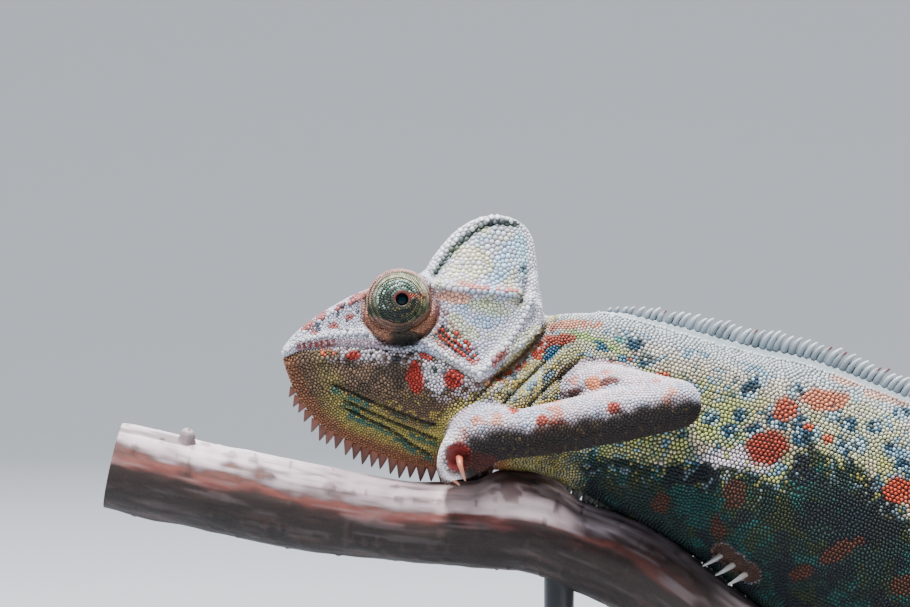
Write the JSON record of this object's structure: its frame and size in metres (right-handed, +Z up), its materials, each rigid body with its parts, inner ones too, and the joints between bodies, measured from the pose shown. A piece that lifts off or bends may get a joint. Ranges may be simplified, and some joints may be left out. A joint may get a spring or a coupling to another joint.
{
  "type": "veiled chameleon display model",
  "caption": "Life-size chameleon walking on a short cut branch, with a tall casque, swivel-eye turrets, saw-edged back and coiled tail, on a base with rods.",
  "frame": {"origin": "middle of the underside of the display base", "axes": "+Z up; the animal faces -X, so +X runs towards its tail; its left side is at -Y"},
  "size_m": [0.2679, 0.092, 0.177],
  "materials": {
    "pale_skin": "fine beaded scales, pale lilac-white, satin",
    "flank_skin": "beaded scales in yellow-green, teal, cream and orange-red patches, satin",
    "throat_skin": "fine olive and brown beaded scales, satin",
    "turret_skin": "rings of fine green scales, slightly glossy",
    "eye": "wet gloss",
    "claw": "smooth pale horn",
    "bark": "weathered bark, pinkish above and brown beneath, with plain cut ends",
    "base_lacquer": "dark satin lacquer",
    "rod_steel": "fine brushed"
  },
  "bodies": {
    "root": {"eye_turret_left": "turret_skin", "eye_turret_right": "turret_skin", "eyeball_left": "eye", "eyeball_right": "eye", "forefoot_left_inner_claw_1": "claw", "forefoot_left_inner_claw_2": "claw", "forefoot_left_inner_claw_3": "claw", "forefoot_left_inner_toes": "pale_skin", "forefoot_left_outer_claw_1": "claw", "forefoot_left_outer_claw_2": "claw", "forefoot_left_outer_toes": "pale_skin", "forefoot_left_palm": "pale_skin", "forefoot_right_inner_claw_1": "claw", "forefoot_right_inner_claw_2": "claw", "forefoot_right_inner_claw_3": "claw", "forefoot_right_inner_toes": "pale_skin", "forefoot_right_outer_claw_1": "claw", "forefoot_right_outer_claw_2": "claw", "forefoot_right_outer_toes": "pale_skin", "forefoot_right_palm": "pale_skin", "foreleg_left_lower": "pale_skin", "foreleg_left_upper": "pale_skin", "foreleg_right_lower": "pale_skin", "foreleg_right_upper": "pale_skin", "head": "pale_skin", "hindfoot_left_inner_claw_1": "claw", "hindfoot_left_inner_claw_2": "claw", "hindfoot_left_inner_toes": "pale_skin", "hindfoot_left_outer_claw_1": "claw", "hindfoot_left_outer_claw_2": "claw", "hindfoot_left_outer_claw_3": "claw", "hindfoot_left_outer_toes": "pale_skin", "hindfoot_left_palm": "pale_skin", "hindfoot_right_inner_claw_1": "claw", "hindfoot_right_inner_claw_2": "claw", "hindfoot_right_inner_toes": "pale_skin", "hindfoot_right_outer_claw_1": "claw", "hindfoot_right_outer_claw_2": "claw", "hindfoot_right_outer_claw_3": "claw", "hindfoot_right_outer_toes": "pale_skin", "hindfoot_right_palm": "pale_skin", "hindleg_left_lower": "pale_skin", "hindleg_left_upper": "pale_skin", "hindleg_right_lower": "pale_skin", "hindleg_right_upper": "pale_skin", "lower_jaw_and_throat": "throat_skin", "neck": "flank_skin", "perch": "bark", "stand_base": "base_lacquer", "stand_rod_front": "rod_steel", "stand_rod_rear": "rod_steel", "tail_1": "flank_skin", "tail_2": "flank_skin", "tail_3": "flank_skin", "tail_4": "flank_skin", "tail_5": "flank_skin", "trunk": "flank_skin"}
  },
  "joints": []
}
